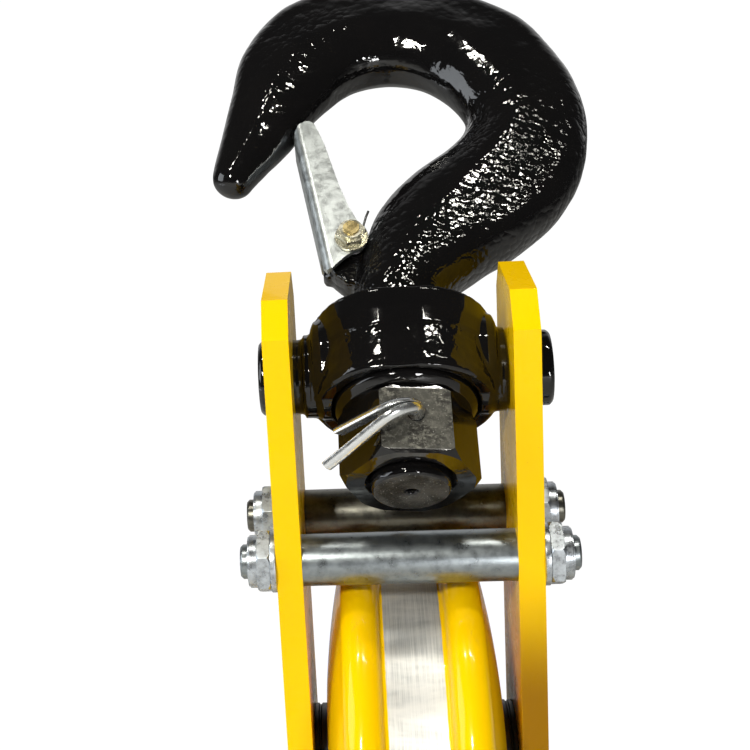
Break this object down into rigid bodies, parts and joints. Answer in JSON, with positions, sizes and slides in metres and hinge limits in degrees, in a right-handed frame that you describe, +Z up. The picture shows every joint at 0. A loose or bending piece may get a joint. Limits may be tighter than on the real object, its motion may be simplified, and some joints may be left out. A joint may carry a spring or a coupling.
{
  "type": "crane hook block",
  "caption": "Lifting block with a yellow-sided sheave frame, tie rods, and a black swivelling and tilting hook with a sprung safety latch.",
  "frame": {"origin": "centre of the hook's seat, on the shank's axis, where the block hangs", "axes": "+Z up along the side plates, +X along the trunnion and the sheave axle to the right, -Y to the front; the hook leans back 50 degrees from +Z at rest"},
  "size_m": [0.1939, 0.3013, 0.4747],
  "materials": {
    "plate_paint": "gloss yellow enamel",
    "sheave_paint": "yellow enamel, rope groove worn",
    "zinc": "zinc plated",
    "lock_ring": "nylon insert",
    "latch_plate": "pressed sheet, zinc plated",
    "latch_nut": "yellow zinc plated",
    "forging": "gloss black over a forged skin",
    "casting": "gloss black over a cast skin",
    "ground_steel": "ground",
    "spring_steel": "oiled spring steel",
    "balls": "polished",
    "bronze": "bronze",
    "black_plastic": "black",
    "seal_rubber": "moulded"
  },
  "bodies": {
    "hook": {"hook": "forging", "shank_nut": "forging", "cotter_pin": "zinc", "bearing_cap": "casting", "thrust_washer_lower": "ground_steel", "latch_bolt": "zinc", "latch_nut": "latch_nut", "latch_spring": "spring_steel"},
    "latch": {"safety_latch": "latch_plate"},
    "crosshead": {"crosshead": "casting", "crosshead_bush": "bronze", "thrust_washer_upper": "ground_steel"},
    "thrust_cage": {"thrust_balls": "balls", "thrust_cage": "bronze"},
    "frame": {"side_plate_left": "plate_paint", "side_plate_right": "plate_paint", "tie_rod_front": "zinc", "tie_rod_rear": "zinc", "tie_rod_washers": "zinc", "tie_rod_nuts": "zinc", "tie_rod_lock_rings": "lock_ring", "sheave_axle": "ground_steel", "axle_retaining_rings": "spring_steel", "grease_nipple": "latch_nut", "axle_spacer_left": "black_plastic", "axle_spacer_right": "black_plastic", "bearing_sleeve": "ground_steel", "bearing_inner_rings": "ground_steel"},
    "sheave": {"sheave": "sheave_paint", "bearing_outer_rings": "ground_steel", "bearing_retaining_rings": "spring_steel", "bearing_seals": "seal_rubber"},
    "sheave_cage": {"bearing_balls": "balls", "bearing_cages": "bronze"}
  },
  "joints": [
    {"name": "swivel", "type": "hinge", "parent": "hook", "child": "crosshead", "pos_m": [0, -0.11567, -0.09706], "axis": [0, 0.766, 0.6428], "continuous": true},
    {"name": "thrust_cage_spin", "type": "hinge", "parent": "hook", "child": "thrust_cage", "pos_m": [0, -0.11567, -0.09706], "axis": [0, 0.766, 0.6428], "continuous": true},
    {"name": "frame_tilt", "type": "hinge", "parent": "crosshead", "child": "frame", "pos_m": [0, -0.11567, -0.09706], "axis": [1, 0, 0], "range_deg": [-140, 40]},
    {"name": "sheave_spin", "type": "hinge", "parent": "frame", "child": "sheave", "pos_m": [-0.002, -0.11567, -0.29906], "axis": [1, 0, 0], "continuous": true},
    {"name": "sheave_cage_spin", "type": "hinge", "parent": "frame", "child": "sheave_cage", "pos_m": [-0.002, -0.11567, -0.29906], "axis": [1, 0, 0], "continuous": true},
    {"name": "latch_hinge", "type": "hinge", "parent": "hook", "child": "latch", "pos_m": [-0.0215, -0.06128, -0.05142], "axis": [0, 0.6428, -0.766], "range_deg": [0, 38], "stiffness_Nm_per_rad": 0.08, "springref_deg": -34.38}
  ],
  "couplings": [
    {"joint": "thrust_cage_spin", "follows": "swivel", "ratio": 0.5},
    {"joint": "sheave_cage_spin", "follows": "sheave_spin", "ratio": 0.5967}
  ]
}
